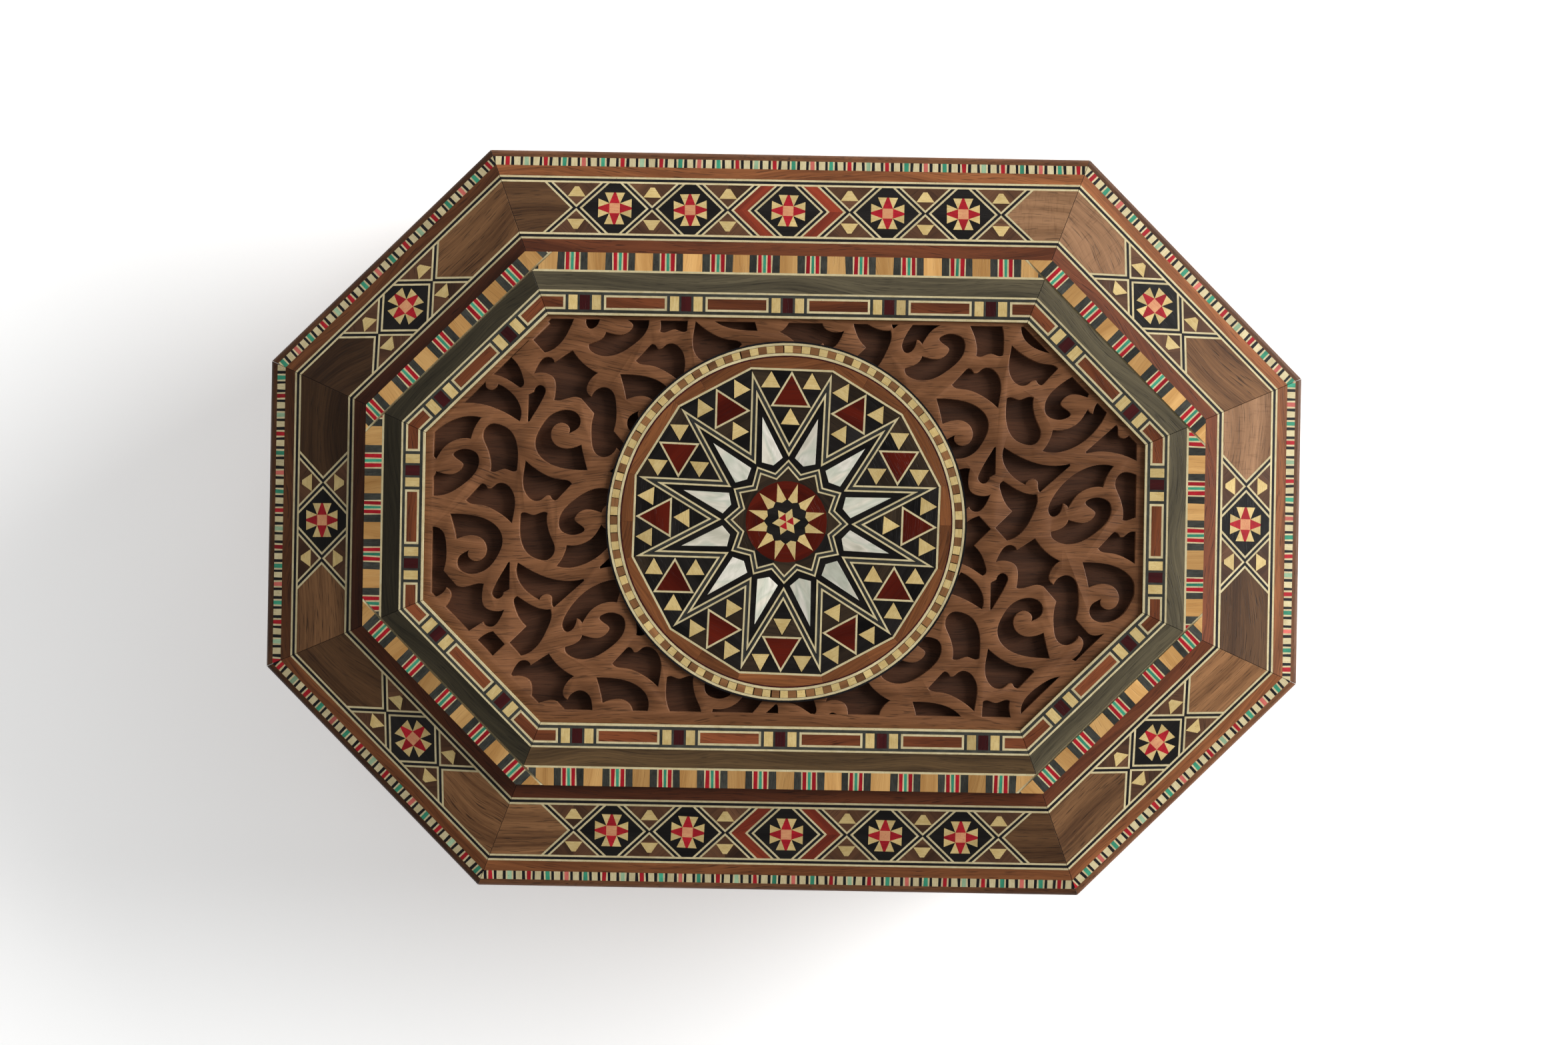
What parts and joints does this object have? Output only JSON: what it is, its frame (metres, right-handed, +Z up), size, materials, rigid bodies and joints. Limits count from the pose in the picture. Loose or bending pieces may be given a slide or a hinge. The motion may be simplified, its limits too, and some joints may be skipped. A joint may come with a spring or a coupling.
{
  "type": "hinged marquetry box",
  "caption": "Octagonal walnut box with a hinged lid, inlaid with a star medallion, pierced scrollwork, mosaic bands and mother-of-pearl.",
  "frame": {"origin": "centre of the flat underside, on the surface that the box stands on", "axes": "+Z up, +X to the right along the long side, the front faces -Y and the hinges are at the back, +Y"},
  "size_m": [0.28, 0.2, 0.1],
  "materials": {
    "walnut": "satin",
    "dark_walnut": "satin",
    "pale_wood": "satin",
    "stained_wood": "satin",
    "red_wood": "satin",
    "ebony": "satin",
    "bone": "satin",
    "pearl": "polished",
    "inlay_rods": "satin",
    "hinge_brass": "satin",
    "hinge_steel": "satin",
    "red_velvet": "matte"
  },
  "bodies": {
    "box_body": {"base_board": "dark_walnut", "body_check_bands": "inlay_rods", "body_mosaic_bands": "inlay_rods", "body_stringing": "bone", "body_striped_bands": "inlay_rods", "body_wall_back": "pale_wood", "body_wall_back_left": "pale_wood", "body_wall_back_right": "pale_wood", "body_wall_front": "pale_wood", "body_wall_front_left": "pale_wood", "body_wall_front_right": "pale_wood", "body_wall_left": "pale_wood", "body_wall_right": "pale_wood", "body_walnut_veneer": "walnut", "hinge_body_leaves": "hinge_brass", "hinge_body_screws": "hinge_brass", "hinge_pins": "hinge_steel", "plinth_moulding": "walnut", "velvet_body_lining": "red_velvet"},
    "lid": {"fret_backing_board": "dark_walnut", "fret_panel": "walnut", "hinge_lid_leaves": "hinge_brass", "hinge_lid_screws": "hinge_brass", "lid_check_band": "inlay_rods", "lid_chevrons": "red_wood", "lid_core_boards": "pale_wood", "lid_edging": "dark_walnut", "lid_end_panels": "walnut", "lid_gap_triangles": "dark_walnut", "lid_inlay_banding": "inlay_rods", "lid_lozenge_stringing": "bone", "lid_raised_frame": "pale_wood", "lid_rim_moulding": "walnut", "lid_rosette_tiles": "inlay_rods", "lid_side_veneer": "walnut", "lid_slope_frame": "pale_wood", "lid_stained_band": "stained_wood", "lid_stringing": "bone", "lid_striped_bands": "inlay_rods", "lid_wall_back": "pale_wood", "lid_wall_back_left": "pale_wood", "lid_wall_back_right": "pale_wood", "lid_wall_front": "pale_wood", "lid_wall_front_left": "pale_wood", "lid_wall_front_right": "pale_wood", "lid_wall_left": "pale_wood", "lid_wall_right": "pale_wood", "lid_walnut_bands": "walnut", "medallion_board": "dark_walnut", "medallion_bone_triangles": "bone", "medallion_border_ring": "inlay_rods", "medallion_ebony_ground": "ebony", "medallion_petals": "bone", "medallion_red_triangles": "red_wood", "medallion_rose": "inlay_rods", "medallion_roundel": "ebony", "medallion_stringing": "bone", "medallion_walnut_ring": "walnut", "pearl_kites": "pearl", "velvet_lid_lining": "red_velvet"}
  },
  "joints": [
    {"name": "lid_hinge", "type": "hinge", "parent": "box_body", "child": "lid", "pos_m": [0, 0.094, 0.06615], "axis": [-1, 0, 0], "range_deg": [0, 100]}
  ]
}
